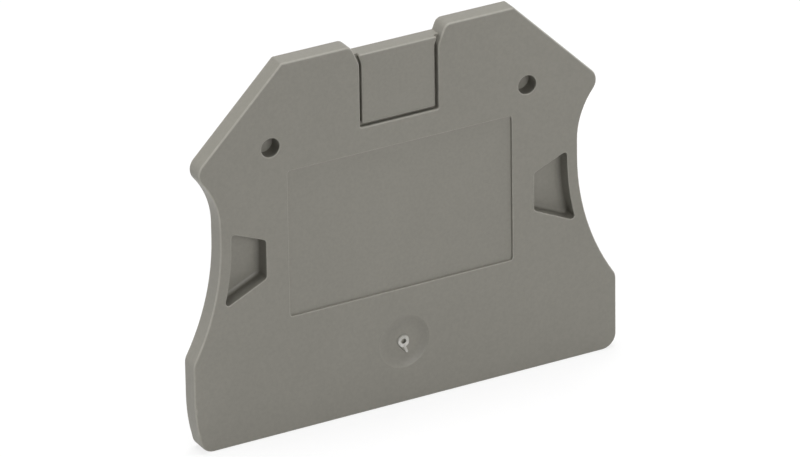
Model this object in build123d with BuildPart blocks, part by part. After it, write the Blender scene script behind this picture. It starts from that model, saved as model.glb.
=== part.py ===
from build123d import *
from math import asin, degrees
import os

os.makedirs("parts", exist_ok=True)

# End cover for a rail-mounted screw terminal: one flat moulding that closes the open side
# of the last terminal in a row. Sizes are in millimetres. X runs along the terminal, Z is
# up, and the mating face looks along +Y. The origin lies on the mating face, midway between
# the two locating pegs. Heights are counted up from the bottom edge, and drops down from
# the top edge.

# Plate
plate_length = 47.7
plate_height = 40.0
plate_thickness = 2.2
front_edge_radius = 0.2
rear_edge_radius = 0.3

# Shoulders: a flat top between two slopes at 45 degrees
shoulder_half_width = 12.95
shoulder_radius = 0.3
wing_tip_radius = 1.5

# Waist: each side is drawn in by a large arc below and a smaller one above
waist_depth = 4.35
waist_top = 24.0
waist_flat = 1.8
lower_waist_radius = 25.0
upper_waist_radius = 8.2

# Feet: the right side is straight, the left one is set back and curves in at the bottom
left_foot_setback = 1.1
foot_top_radius = 1.5
right_foot_radius = 1.6
left_foot_radius = 1.4
left_curve_start = 6.0
left_curve_radius = 20.0

# Notch for a marking strip in the top edge, with a flared mouth
notch_width = 8.75
notch_drop = 8.9
notch_floor_radius = 0.2
notch_flare = 0.9
notch_flare_drop = 2.15
notch_flare_radius = 1.2
notch_mouth_radius = 0.8

# Break-out tab that fills the notch below its mouth, scored round by a narrow groove in front
score_width = 0.31
score_depth = 0.7
tab_drop = 1.15
tab_set_back = 0.17
tab_corner_radius = 0.22
tab_edge_radius = 0.18

# Pockets beside the waist
pocket_wall = 1.2
pocket_width = 3.8
pocket_height = 4.15
pocket_below_waist_top = 2.45
pocket_upper_angle = 22.3
pocket_lower_angle = 25.0
pocket_floor_thickness = 0.45
pocket_corner_radius = 0.5
pocket_edge_radius = 0.35

# Shallow field for a stick-on label, between the pockets and below the notch
label_bottom = 12.6
label_notch_gap = 2.7
label_pocket_gap = 2.5
label_depth = 0.25
label_corner_radius = 0.35

# Locating pegs behind, and in front the blind holes that take the pegs of the next cover
peg_spacing = 28.7
peg_drop = 8.65
peg_diameter = 1.95
peg_length = 1.4
peg_lead_in = 0.3
peg_side_clearance = 0.03
peg_end_clearance = 0.1

# Small chamfer on the rims of holes, pockets and label field
rim_chamfer = 0.06

# Dish around the moulding gate, and the stub left in it
gate_x = 0.1
gate_line_height = 6.7
dish_diameter = 5.7
dish_wall_width = 1.3
dish_depth = 0.28
gate_diameter = 1.35
gate_height = 0.2
gate_taper = 20
gate_pit_diameter = 0.55
gate_pit_depth = 0.3
gate_tail_diameter = 0.36
gate_tail_x = 0.35
gate_tail_drop = 1.2

# Reach of the feet, the waist and the slopes from the middle of the plate
right_foot_reach = (plate_length + left_foot_setback) / 2
left_foot_reach = (plate_length - left_foot_setback) / 2
waist_half_width = right_foot_reach - waist_depth
waist_bottom = waist_top - waist_flat
waist_middle = waist_top - waist_flat / 2
slope_reach = shoulder_half_width + plate_height - waist_middle
left_curve_angle = degrees(asin(left_curve_start / left_curve_radius))

# Places that follow from the sizes above
notch_floor = plate_height - notch_drop
notch_flare_start = plate_height - notch_flare_drop
notch_mouth_half_width = notch_width / 2 + notch_flare
tab_top = plate_height - tab_drop
pocket_inner_x = waist_half_width - pocket_wall - pocket_width
pocket_top = waist_top - pocket_below_waist_top
pocket_bottom = pocket_top - pocket_height
label_width = 2 * (pocket_inner_x - label_pocket_gap)
label_height = notch_floor - label_notch_gap - label_bottom
peg_height = plate_height - peg_drop
peg_places = [(-peg_spacing / 2, peg_height), (peg_spacing / 2, peg_height)]
hole_diameter = peg_diameter + 2 * peg_side_clearance
hole_depth = peg_length + peg_end_clearance

# The rear and front faces, with local X along the plate and local Y up from its bottom edge
rear = Plane((0, 0, -peg_height), x_dir=(1, 0, 0), z_dir=(0, -1, 0))
front = rear.offset(plate_thickness)

# Both waists, as the areas that are taken from the sides of the plate
with BuildSketch() as waists:
    with BuildLine():
        upper = JernArc((waist_half_width, waist_top), (0, 1), upper_waist_radius, -90)
        lower = JernArc((waist_half_width, waist_bottom), (0, -1), lower_waist_radius, 90)
        Line(upper @ 0, lower @ 0)
        Polyline(upper @ 1, ((lower @ 1).X, (upper @ 1).Y), lower @ 1)
    make_face()
    mirror(about=Plane.YZ)

# Outline of the plate with its top edge still whole
with BuildSketch() as outline:
    with BuildLine():
        left_curve = JernArc(
            (-left_foot_reach, left_curve_start), (0, -1), left_curve_radius, left_curve_angle
        )
        Polyline(
            left_curve @ 1,
            (right_foot_reach, 0),
            (right_foot_reach, waist_middle),
            (slope_reach, waist_middle),
            (shoulder_half_width, plate_height),
            (-shoulder_half_width, plate_height),
            (-slope_reach, waist_middle),
            (-left_foot_reach, waist_middle),
            left_curve @ 0,
        )
    make_face()
    add(waists.sketch, mode=Mode.SUBTRACT)
    above_waist = outline.vertices().filter_by(lambda v: v.Y > waist_middle).group_by(Axis.X)
    fillet(above_waist[0] + above_waist[-1], wing_tip_radius)
    below_waist = outline.vertices().filter_by(lambda v: v.Y < waist_middle).group_by(Axis.X)
    foot_tops = [below_waist[0].sort_by(Axis.Y)[-1], below_waist[-1].sort_by(Axis.Y)[-1]]
    fillet(foot_tops, foot_top_radius)
    fillet(outline.vertices().group_by(Axis.Y)[0].sort_by(Axis.X)[0], left_foot_radius)
    fillet(outline.vertices().group_by(Axis.Y)[0].sort_by(Axis.X)[-1], right_foot_radius)
    fillet(outline.vertices().group_by(Axis.Y)[-1], shoulder_radius)

# Notch with its flared mouth, reaching past the top edge
with BuildSketch() as notch:
    with BuildLine():
        Polyline(
            (-notch_width / 2, notch_floor),
            (-notch_width / 2, notch_flare_start),
            (-notch_mouth_half_width, plate_height),
            (-notch_mouth_half_width, plate_height + notch_mouth_radius),
            (notch_mouth_half_width, plate_height + notch_mouth_radius),
            (notch_mouth_half_width, plate_height),
            (notch_width / 2, notch_flare_start),
            (notch_width / 2, notch_floor),
            close=True,
        )
    make_face()
    fillet(notch.vertices().group_by(Axis.Y)[1], notch_flare_radius)
    fillet(notch.vertices().group_by(Axis.Y)[0], notch_floor_radius)

# Plate outline with the notch taken out and the corners of its mouth rounded
with BuildSketch() as notched_outline:
    add(outline.sketch)
    add(notch.sketch, mode=Mode.SUBTRACT)
    top_corners = notched_outline.vertices().group_by(Axis.Y)[-1]
    mouth_corners = top_corners.sort_by(lambda v: abs(v.X))[:2]
    fillet(mouth_corners, notch_mouth_radius)

# The web fills the notch up to the top of the tab, and the tab stands clear of its sides
with BuildSketch() as web_outline:
    add(notch.sketch)
    with Locations((0, tab_top)):
        Rectangle(plate_length, plate_height, align=(Align.CENTER, Align.MIN), mode=Mode.SUBTRACT)

with BuildSketch() as tab_outline:
    offset(notch.sketch, amount=-score_width)
    with Locations((0, tab_top)):
        Rectangle(plate_length, plate_height, align=(Align.CENTER, Align.MIN), mode=Mode.SUBTRACT)
    tab_rows = tab_outline.vertices().group_by(Axis.Y)
    fillet(tab_rows[0] + tab_rows[-1], tab_corner_radius)

# Pocket outline: a wedge that widens outwards, up to an even wall along the waist
with BuildSketch() as pocket_outlines:
    with BuildLine():
        inner_side = Line((pocket_inner_x, pocket_bottom), (pocket_inner_x, pocket_top))
        top_side = PolarLine(inner_side @ 1, plate_length, pocket_upper_angle)
        bottom_side = PolarLine(inner_side @ 0, plate_length, -pocket_lower_angle)
        Line(top_side @ 1, bottom_side @ 1)
    make_face()
    offset(outline.sketch, amount=-pocket_wall, mode=Mode.INTERSECT)
    inner_corners = pocket_outlines.vertices().group_by(Axis.X)[0]
    fillet(inner_corners, pocket_corner_radius)
    tips = pocket_outlines.vertices().sort_by(Axis.Y)
    fillet([tips[0], tips[-1]], pocket_edge_radius)
    mirror(about=Plane.YZ)

with BuildPart() as end_cover:
    # Plate with the open notch
    with BuildSketch(rear):
        add(notched_outline.sketch)
    extrude(amount=plate_thickness)
    front_rim = end_cover.faces().sort_by(Axis.Y)[0].outer_wire().edges()
    fillet(front_rim, front_edge_radius)

    # Break-out tab, set back a little from the front
    with BuildSketch(rear):
        add(tab_outline.sketch)
    extrude(amount=plate_thickness - tab_set_back)
    tab_rim = end_cover.edges(Select.LAST).group_by(Axis.Y)[0]
    fillet(tab_rim, tab_edge_radius)

    # Web that joins the tab to the plate behind the groove
    with BuildSketch(rear):
        add(web_outline.sketch)
    extrude(amount=plate_thickness - score_depth)
    rear_rim = end_cover.faces().sort_by(Axis.Y)[-1].outer_wire().edges()
    fillet(rear_rim, rear_edge_radius)

    # Pockets
    with BuildSketch(front):
        add(pocket_outlines.sketch)
    extrude(amount=pocket_floor_thickness - plate_thickness, mode=Mode.SUBTRACT)
    pocket_edges = end_cover.edges(Select.LAST).group_by(Axis.Y)
    fillet(pocket_edges[-1], pocket_edge_radius)
    chamfer(pocket_edges[0], rim_chamfer)

    # Label field
    with BuildSketch(front):
        with Locations((0, label_bottom)):
            RectangleRounded(
                label_width,
                label_height,
                label_corner_radius,
                align=(Align.CENTER, Align.MIN),
            )
    extrude(amount=-label_depth, mode=Mode.SUBTRACT)
    chamfer(end_cover.edges(Select.LAST).group_by(Axis.Y)[0], rim_chamfer)

    # Blind holes in front
    with BuildSketch(front):
        with Locations(*peg_places):
            Circle(hole_diameter / 2)
    extrude(amount=-hole_depth, mode=Mode.SUBTRACT)
    chamfer(end_cover.edges(Select.LAST).group_by(Axis.Y)[0], rim_chamfer)

    # Locating pegs behind, on the same axes as the holes
    with BuildSketch(rear):
        with Locations(*peg_places):
            Circle(peg_diameter / 2)
    extrude(amount=-peg_length)
    chamfer(end_cover.edges(Select.LAST).group_by(Axis.Y)[-1], peg_lead_in)

    # Dish in front, turned about the gate
    gate_point = (gate_x, -plate_thickness, gate_line_height - peg_height)
    gate_axis = Axis(gate_point, (0, 1, 0))
    with BuildSketch(Plane(gate_point)):
        with BuildLine():
            dish_floor_edge = (dish_diameter / 2 - dish_wall_width, dish_depth)
            Polyline(
                (dish_diameter / 2, 0),
                (0, 0),
                (0, dish_depth),
                dish_floor_edge,
            )
            TangentArc(dish_floor_edge, (dish_diameter / 2, 0), tangent=(1, 0))
        make_face()
    revolve(axis=gate_axis, mode=Mode.SUBTRACT)

    # Stub of the gate on the floor of the dish, torn off with a short tail
    with BuildSketch(front.offset(-dish_depth)):
        with Locations((gate_x, gate_line_height)):
            Circle(gate_diameter / 2)
        with Locations((gate_x + gate_tail_x, gate_line_height - gate_tail_drop)):
            Circle(gate_tail_diameter / 2)
        make_hull()
    extrude(amount=gate_height, taper=gate_taper)
    with BuildSketch(front.offset(gate_height - dish_depth)):
        with Locations((gate_x, gate_line_height)):
            Circle(gate_pit_diameter / 2)
    extrude(amount=-gate_pit_depth, mode=Mode.SUBTRACT)

end_cover.part.label = "end_cover"
export_step(end_cover.part, "parts/end_cover.step")
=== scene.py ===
import bpy
from math import radians
from mathutils import Matrix, Vector


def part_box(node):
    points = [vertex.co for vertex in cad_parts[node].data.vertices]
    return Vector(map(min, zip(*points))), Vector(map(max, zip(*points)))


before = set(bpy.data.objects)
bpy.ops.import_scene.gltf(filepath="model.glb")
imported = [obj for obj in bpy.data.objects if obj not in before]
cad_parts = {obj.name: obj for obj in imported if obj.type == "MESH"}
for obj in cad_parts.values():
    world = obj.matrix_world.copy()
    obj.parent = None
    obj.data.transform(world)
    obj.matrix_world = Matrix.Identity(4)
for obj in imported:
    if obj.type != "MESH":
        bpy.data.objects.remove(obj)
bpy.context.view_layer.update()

# Everything is in metres, in the frame of the part: the mating face lies at Y = 0, the front looks
# along -Y, and the origin lies midway between the two locating pegs.
MM = 0.001

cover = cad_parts["end_cover"]
cover_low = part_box("end_cover")[0]
FRONT_Y = cover_low.y
BOTTOM_Z = cover_low.z

# A pair named FADE, TURN or BEND is the run of a mask: none at its first value, all at its second.

# The mould texture: the pits, how much coarser the grain between them is, and the slow changes of
# tone, as noise scales, and the depth of the pits.
PIT_SCALE = 9000.0
COARSER_GRAIN = 0.33
FLOW_SCALE = 90.0
PIT_DEPTH = 0.01 * MM
PIT_STRENGTH = 0.25

# Painted highlight on the rims of the plate: how far the surface has turned from the side walls and
# from the flat faces, and how near it is to the front or the rear. The painted halo beside a rim on
# the front face reaches as far as a rounding of HALO_REACH would bend the surface.
WALL_TURN = (0.01, 0.2)
FACE_TURN = (0.97, 0.85)
RIM_FADE = (0.4 * MM, 0.25 * MM)
HALO_REACH = 0.14 * MM
HALO_BEND = (0.998, 0.93)
HALO_FADE = (0.12 * MM, 0.08 * MM)
HALO_STRENGTH = 0.8

# The moulding gate: its place, the depth of its dish, and the radii of the dish's flat floor and of
# its rim. The torn stub is a ring round the gate with a thin tail hanging from it.
GATE_X = 0.1 * MM
GATE_Z = BOTTOM_Z + 6.7 * MM
DISH_FLOOR_Y = FRONT_Y + 0.28 * MM
DISH_FLOOR_RADIUS = 1.55 * MM
DISH_RADIUS = 2.85 * MM
DISH_FRONT_FADE = (-0.1 * MM, -0.05 * MM)
RING_RADIUS = 0.45 * MM
RING_FADE = (0.24 * MM, 0.14 * MM)
TAIL_START = Vector((0.06, 0.0, -0.45)) * MM
TAIL_END = Vector((0.35, 0.0, -1.2)) * MM
TAIL_FADE = (0.16 * MM, 0.08 * MM)
STUB_RISE_FADE = (0.0, 0.06 * MM)

# Colours, as linear values, and the roughness of the plastic from its smoothest to its roughest
GREY_BODY = (0.206, 0.198, 0.172)
DARKER_FLOW = 0.98
PALER_FLOW = 1.02
# Painted highlight: the paler colour that stands in for the light caught by the rims' roundings
PAINTED_RIM_HIGHLIGHT = (0.285, 0.275, 0.242)
TORN_STUB = (0.5, 0.49, 0.46)
# Painted shade: darkens the dish's sloping wall all round, deepening the shading of its slope
DISH_PAINTED_SHADE = (0.95, 0.95, 0.95)
ROUGHNESS = (0.44, 0.52)

# The noise stays between these two values nearly everywhere
NOISE_SPREAD = (0.3, 0.7)

# The floor's colour for the light that it throws back and as the camera sees it, and how much of
# its whiteness to the camera is its own, so that the rest can show the shadow
FLOOR_BOUNCE = (0.66, 0.66, 0.66)
FLOOR_SEEN = (0.95, 0.95, 0.95)
FLOOR_GLOW = 0.8
FLOOR_SIZE = 6.0

# How bright the white surround is for the light that it scatters onto the cover
SURROUND_FILL = 0.05

# Camera, as fitted to the photograph, in degrees and millimetres
CAMERA_TURN = 28.53
CAMERA_TILT = 25.77
CAMERA_ROLL = -0.86
CAMERA_PLACE = (-359.46, -663.09, 351.01)
CAMERA_LENS = 381.9
CAMERA_SENSOR = 36.0


def new_group(name, inputs, outputs):
    """An empty shader node group with the given sockets, and its two end nodes."""
    group = bpy.data.node_groups.new(name, "ShaderNodeTree")
    for socket_name, socket_type, value in inputs:
        socket = group.interface.new_socket(socket_name, in_out="INPUT", socket_type=socket_type)
        if value is not None:
            socket.default_value = value
    for socket_name in outputs:
        group.interface.new_socket(socket_name, in_out="OUTPUT", socket_type="NodeSocketFloat")
    return group, group.nodes.new("NodeGroupInput"), group.nodes.new("NodeGroupOutput")


def add_node(tree, kind, values=None, **settings):
    """Adds a node, sets its properties and the values of its unlinked inputs."""
    node = tree.nodes.new(kind)
    for key, value in settings.items():
        setattr(node, key, value)
    for key, value in (values or {}).items():
        node.inputs[key].default_value = value
    return node


def feed(tree, node, sources):
    """Gives each named or numbered input of a node its number, its colour or its link."""
    for key, source in sources.items():
        if isinstance(source, bpy.types.NodeSocket):
            tree.links.new(source, node.inputs[key])
        elif isinstance(source, tuple):
            node.inputs[key].default_value = source + (1.0,)
        else:
            node.inputs[key].default_value = source


def math_node(tree, operation, first, second=0.0):
    """A maths node on two inputs, each a number or an output socket."""
    node = add_node(tree, "ShaderNodeMath", operation=operation)
    feed(tree, node, {0: first, 1: second})
    return node.outputs["Value"]


def ramp(tree, source, start, stop, low=0.0, high=1.0):
    """A straight run from low at the start to high at the stop, flat beyond both."""
    step = add_node(
        tree,
        "ShaderNodeMapRange",
        {"From Min": start, "From Max": stop, "To Min": low, "To Max": high},
    )
    tree.links.new(source, step.inputs["Value"])
    return step.outputs["Result"]


def mix_colours(tree, factor, first, second, blend="MIX"):
    """A mix of two colours, each a colour or an output socket."""
    mix = add_node(tree, "ShaderNodeMix", data_type="RGBA", blend_type=blend)
    feed(tree, mix, {"Factor": factor, 6: first, 7: second})
    return mix.outputs[2]


def make_mould_texture():
    """Spark-eroded mould texture: fine pits for the height and slow, faint changes of tone."""
    group, start, end = new_group(
        "mould_texture",
        [
            ("Place", "NodeSocketVector", None),
            ("Grain Scale", "NodeSocketFloat", PIT_SCALE),
            ("Flow Scale", "NodeSocketFloat", FLOW_SCALE),
        ],
        ["Height", "Grain", "Flow"],
    )
    place = start.outputs["Place"]
    grain_scale = start.outputs["Grain Scale"]
    pits = add_node(group, "ShaderNodeTexNoise", {"Detail": 3.0, "Roughness": 0.6})
    feed(group, pits, {"Vector": place, "Scale": grain_scale})
    coarse = add_node(group, "ShaderNodeTexNoise", {"Detail": 2.0, "Roughness": 0.5})
    coarse_scale = math_node(group, "MULTIPLY", grain_scale, COARSER_GRAIN)
    feed(group, coarse, {"Vector": place, "Scale": coarse_scale})
    flow = add_node(
        group, "ShaderNodeTexNoise", {"Detail": 4.0, "Roughness": 0.55, "Distortion": 0.8}
    )
    feed(group, flow, {"Vector": place, "Scale": start.outputs["Flow Scale"]})
    height = math_node(group, "ADD", pits.outputs["Fac"], coarse.outputs["Fac"])
    feed(
        group,
        end,
        {"Height": height, "Grain": coarse.outputs["Fac"], "Flow": flow.outputs["Fac"]},
    )
    return group


def make_rim_highlight():
    """Mask of the painted highlight on the plate's front and rear rims: their roundings, and a halo
    in front.
    """
    group, start, end = new_group(
        "rim_highlight",
        [
            ("Place", "NodeSocketVector", None),
            ("Facing", "NodeSocketVector", None),
            ("Grain", "NodeSocketFloat", 0.5),
            ("Reach", "NodeSocketFloat", HALO_REACH),
        ],
        ["Mask"],
    )
    facing = add_node(group, "ShaderNodeSeparateXYZ")
    group.links.new(start.outputs["Facing"], facing.inputs["Vector"])
    forward = math_node(group, "ABSOLUTE", facing.outputs["Y"])
    turning = math_node(
        group, "MULTIPLY", ramp(group, forward, *WALL_TURN), ramp(group, forward, *FACE_TURN)
    )
    place = add_node(group, "ShaderNodeSeparateXYZ")
    group.links.new(start.outputs["Place"], place.inputs["Vector"])
    behind_front = math_node(group, "SUBTRACT", place.outputs["Y"], FRONT_Y)
    from_front = math_node(group, "ABSOLUTE", behind_front)
    from_rear = math_node(group, "ABSOLUTE", place.outputs["Y"])
    near_rim = ramp(group, math_node(group, "MINIMUM", from_front, from_rear), *RIM_FADE)
    rim = math_node(group, "MULTIPLY", turning, near_rim)

    # Painted halo beside each rim on the front face, where the bevelled normal bends away from the
    # flat one
    rounded = add_node(group, "ShaderNodeBevel", samples=6)
    group.links.new(start.outputs["Reach"], rounded.inputs["Radius"])
    flat = add_node(group, "ShaderNodeNewGeometry")
    bend = add_node(group, "ShaderNodeVectorMath", operation="DOT_PRODUCT")
    feed(group, bend, {0: rounded.outputs["Normal"], 1: flat.outputs["Normal"]})
    beside_rim = ramp(group, bend.outputs["Value"], *HALO_BEND, high=HALO_STRENGTH)
    halo = math_node(group, "MULTIPLY", beside_rim, ramp(group, from_front, *HALO_FADE))

    uneven = ramp(group, start.outputs["Grain"], *NOISE_SPREAD, low=0.75)
    painted_rims = math_node(group, "MULTIPLY", math_node(group, "MAXIMUM", rim, halo), uneven)
    group.links.new(painted_rims, end.inputs["Mask"])
    return group


def make_gate_marks():
    """Masks of the gate: the torn ring with its tail, the dish's sloping wall that gets painted
    shade, the whole dish.
    """
    group, start, end = new_group(
        "gate_marks",
        [("Place", "NodeSocketVector", None), ("Grain", "NodeSocketFloat", 0.5)],
        ["Torn", "Dish Wall", "Dish"],
    )
    split = add_node(group, "ShaderNodeSeparateXYZ")
    group.links.new(start.outputs["Place"], split.inputs["Vector"])
    across = math_node(group, "SUBTRACT", split.outputs["X"], GATE_X)
    up = math_node(group, "SUBTRACT", split.outputs["Z"], GATE_Z)
    flat = add_node(group, "ShaderNodeCombineXYZ")
    feed(group, flat, {"X": across, "Z": up})
    length = add_node(group, "ShaderNodeVectorMath", operation="LENGTH")
    group.links.new(flat.outputs["Vector"], length.inputs[0])
    radius = length.outputs["Value"]
    off_ring = math_node(group, "SUBTRACT", radius, RING_RADIUS)
    ring = ramp(group, math_node(group, "ABSOLUTE", off_ring), *RING_FADE)

    # Distance from the tail: from the point nearest to the surface point on the tail's middle line
    tail_run = TAIL_END - TAIL_START
    from_top = add_node(group, "ShaderNodeVectorMath", {1: TAIL_START}, operation="SUBTRACT")
    group.links.new(flat.outputs["Vector"], from_top.inputs[0])
    along = add_node(group, "ShaderNodeVectorMath", {1: tail_run}, operation="DOT_PRODUCT")
    group.links.new(from_top.outputs["Vector"], along.inputs[0])
    share = add_node(
        group, "ShaderNodeMath", {1: tail_run.length_squared}, operation="DIVIDE", use_clamp=True
    )
    group.links.new(along.outputs["Value"], share.inputs[0])
    nearest = add_node(group, "ShaderNodeVectorMath", {0: tail_run}, operation="SCALE")
    group.links.new(share.outputs["Value"], nearest.inputs["Scale"])
    aside = add_node(group, "ShaderNodeVectorMath", operation="DISTANCE")
    feed(group, aside, {0: from_top.outputs["Vector"], 1: nearest.outputs["Vector"]})
    tail = ramp(group, aside.outputs["Value"], *TAIL_FADE)

    # Only what stands above the dish's floor is torn
    rise = math_node(group, "SUBTRACT", DISH_FLOOR_Y, split.outputs["Y"])
    stub = math_node(group, "MAXIMUM", ring, tail)
    raised = math_node(group, "MULTIPLY", stub, ramp(group, rise, *STUB_RISE_FADE))
    uneven = ramp(group, start.outputs["Grain"], 0.35, 0.6, low=0.6)
    group.links.new(math_node(group, "MULTIPLY", raised, uneven), end.inputs["Torn"])

    in_front = ramp(group, rise, *DISH_FRONT_FADE)
    inside = ramp(group, radius, DISH_RADIUS, 0.9 * DISH_RADIUS)
    outside = ramp(group, radius, 0.9 * DISH_FLOOR_RADIUS, 1.25 * DISH_FLOOR_RADIUS)
    slope = math_node(group, "MULTIPLY", inside, outside)
    group.links.new(math_node(group, "MULTIPLY", slope, in_front), end.inputs["Dish Wall"])
    whole = ramp(group, radius, 1.1 * DISH_RADIUS, 1.05 * DISH_RADIUS)
    group.links.new(math_node(group, "MULTIPLY", whole, in_front), end.inputs["Dish"])
    return group


def make_grey_plastic(texture, rim_highlight, gate_marks):
    """Matte grey polyamide of the whole moulding, with a painted highlight on its rims, painted
    shade on the dish wall, and paler where it is torn.
    """
    material = bpy.data.materials.new("grey_plastic")
    material.use_nodes = True
    tree = material.node_tree
    shader = tree.nodes["Principled BSDF"]
    shader.inputs["IOR"].default_value = 1.5
    shader.inputs["Specular IOR Level"].default_value = 0.3
    place = add_node(tree, "ShaderNodeTexCoord")
    mould = add_node(tree, "ShaderNodeGroup", node_tree=texture)
    tree.links.new(place.outputs["Object"], mould.inputs["Place"])
    flow = mould.outputs["Flow"]
    grain = mould.outputs["Grain"]

    tone = add_node(tree, "ShaderNodeValToRGB")
    tree.links.new(flow, tone.inputs["Fac"])
    shades = (DARKER_FLOW, PALER_FLOW)
    for stop, position, shade in zip(tone.color_ramp.elements, NOISE_SPREAD, shades):
        stop.position = position
        stop.color = tuple(channel * shade for channel in GREY_BODY) + (1.0,)
    speckle = ramp(tree, grain, *NOISE_SPREAD, low=0.96, high=1.03)
    body = mix_colours(tree, 1.0, tone.outputs["Color"], speckle, "MULTIPLY")

    gate = add_node(tree, "ShaderNodeGroup", node_tree=gate_marks)
    feed(tree, gate, {"Place": place.outputs["Object"], "Grain": grain})
    rim_highlight_mask = add_node(tree, "ShaderNodeGroup", node_tree=rim_highlight)
    feed(
        tree,
        rim_highlight_mask,
        {"Place": place.outputs["Object"], "Facing": place.outputs["Normal"], "Grain": grain},
    )
    # Painted highlight on the rims, kept off the dish
    off_dish = math_node(tree, "SUBTRACT", 1.0, gate.outputs["Dish"])
    highlight_share = math_node(tree, "MULTIPLY", rim_highlight_mask.outputs["Mask"], off_dish)
    painted_rims = mix_colours(tree, highlight_share, body, PAINTED_RIM_HIGHLIGHT)
    # Painted shade on the dish's sloping wall
    dish_shaded = mix_colours(tree, gate.outputs["Dish Wall"], painted_rims, DISH_PAINTED_SHADE, "MULTIPLY")
    torn = mix_colours(tree, gate.outputs["Torn"], dish_shaded, TORN_STUB)
    tree.links.new(torn, shader.inputs["Base Color"])

    smooth, rough = ROUGHNESS
    tree.links.new(ramp(tree, flow, *NOISE_SPREAD, smooth, rough), shader.inputs["Roughness"])

    bump = add_node(tree, "ShaderNodeBump", {"Strength": PIT_STRENGTH, "Distance": PIT_DEPTH})
    tree.links.new(mould.outputs["Height"], bump.inputs["Height"])
    tree.links.new(bump.outputs["Normal"], shader.inputs["Normal"])
    return material


def make_white_ground():
    """White surface for the camera and for reflections, which still shows a soft shadow."""
    material = bpy.data.materials.new("white_ground")
    material.use_nodes = True
    tree = material.node_tree
    shader = tree.nodes["Principled BSDF"]
    shader.inputs["Roughness"].default_value = 0.9
    shader.inputs["Specular IOR Level"].default_value = 0.0
    path = add_node(tree, "ShaderNodeLightPath")
    by_camera = path.outputs["Is Camera Ray"]
    tone = mix_colours(tree, by_camera, FLOOR_BOUNCE, FLOOR_SEEN)
    tree.links.new(tone, shader.inputs["Base Color"])
    glow = add_node(tree, "ShaderNodeEmission", {"Color": (1.0, 1.0, 1.0, 1.0), "Strength": 1.0})
    own_white = math_node(tree, "MULTIPLY", by_camera, FLOOR_GLOW)
    share = math_node(tree, "MAXIMUM", own_white, path.outputs["Is Glossy Ray"])
    mix = add_node(tree, "ShaderNodeMixShader")
    feed(tree, mix, {0: share, 1: shader.outputs["BSDF"], 2: glow.outputs["Emission"]})
    tree.links.new(mix.outputs["Shader"], tree.nodes["Material Output"].inputs["Surface"])
    return material


def make_ground():
    """Floor at the bottom edge of the cover, wide enough to be the whole background."""
    bpy.ops.object.select_all(action="DESELECT")
    bpy.ops.mesh.primitive_plane_add(size=FLOOR_SIZE, location=(0.0, 0.0, BOTTOM_Z))
    floor = bpy.context.object
    floor.name = "studio_floor"
    bpy.ops.object.transform_apply(location=True, rotation=True, scale=True)
    floor.data.materials.append(make_white_ground())


def add_white_surround():
    """World that is white to the camera and in reflections, and lights the cover a little."""
    world = bpy.data.worlds.new("white_surround")
    world.use_nodes = True
    tree = world.node_tree
    background = tree.nodes["Background"]
    background.inputs["Color"].default_value = (1.0, 1.0, 1.0, 1.0)
    path = add_node(tree, "ShaderNodeLightPath")
    seen = math_node(tree, "MAXIMUM", path.outputs["Is Camera Ray"], path.outputs["Is Glossy Ray"])
    strength = math_node(tree, "MAXIMUM", seen, SURROUND_FILL)
    tree.links.new(strength, background.inputs["Strength"])
    bpy.context.scene.world = world


def add_softbox(name, place, size, power):
    """Square area lamp that looks at the middle of the cover, in millimetres and watts."""
    lamp = bpy.data.lights.new(name, "AREA")
    lamp.shape = "SQUARE"
    lamp.size = size * MM
    lamp.energy = power
    holder = bpy.data.objects.new(name, lamp)
    bpy.context.scene.collection.objects.link(holder)
    holder.location = Vector(place) * MM
    middle = Vector((0, 0, -12))
    holder.rotation_euler = (middle - Vector(place)).to_track_quat("-Z", "Y").to_euler()


def add_lights():
    """Soft studio light: a key in front, a stronger one overhead, one at each side, one behind."""
    add_softbox("key_light", (60, -570, 160), 320, 2.0)
    add_softbox("top_light", (0, 40, 600), 360, 4.3)
    add_softbox("left_light", (-575, 150, 30), 300, 2.35)
    add_softbox("right_light", (595, 30, 10), 300, 1.8)
    add_softbox("back_light", (60, 590, 20), 300, 0.8)


def add_camera():
    """Camera with the turn, tilt, roll and place fitted to the photograph."""
    lens = bpy.data.cameras.new("photo_camera")
    lens.lens = CAMERA_LENS
    lens.sensor_width = CAMERA_SENSOR
    lens.clip_start = 0.01
    lens.clip_end = 20.0
    camera = bpy.data.objects.new("photo_camera", lens)
    bpy.context.scene.collection.objects.link(camera)
    camera.matrix_world = (
        Matrix.Translation(Vector(CAMERA_PLACE) * MM)
        @ Matrix.Rotation(-radians(CAMERA_TURN), 4, "Z")
        @ Matrix.Rotation(radians(90 - CAMERA_TILT), 4, "X")
        @ Matrix.Rotation(radians(CAMERA_ROLL), 4, "Z")
    )
    bpy.context.scene.camera = camera


grey_plastic = make_grey_plastic(make_mould_texture(), make_rim_highlight(), make_gate_marks())
for slot in cover.material_slots:
    slot.material = grey_plastic

make_ground()
add_white_surround()
add_lights()
add_camera()
bpy.context.scene.view_settings.view_transform = "Standard"
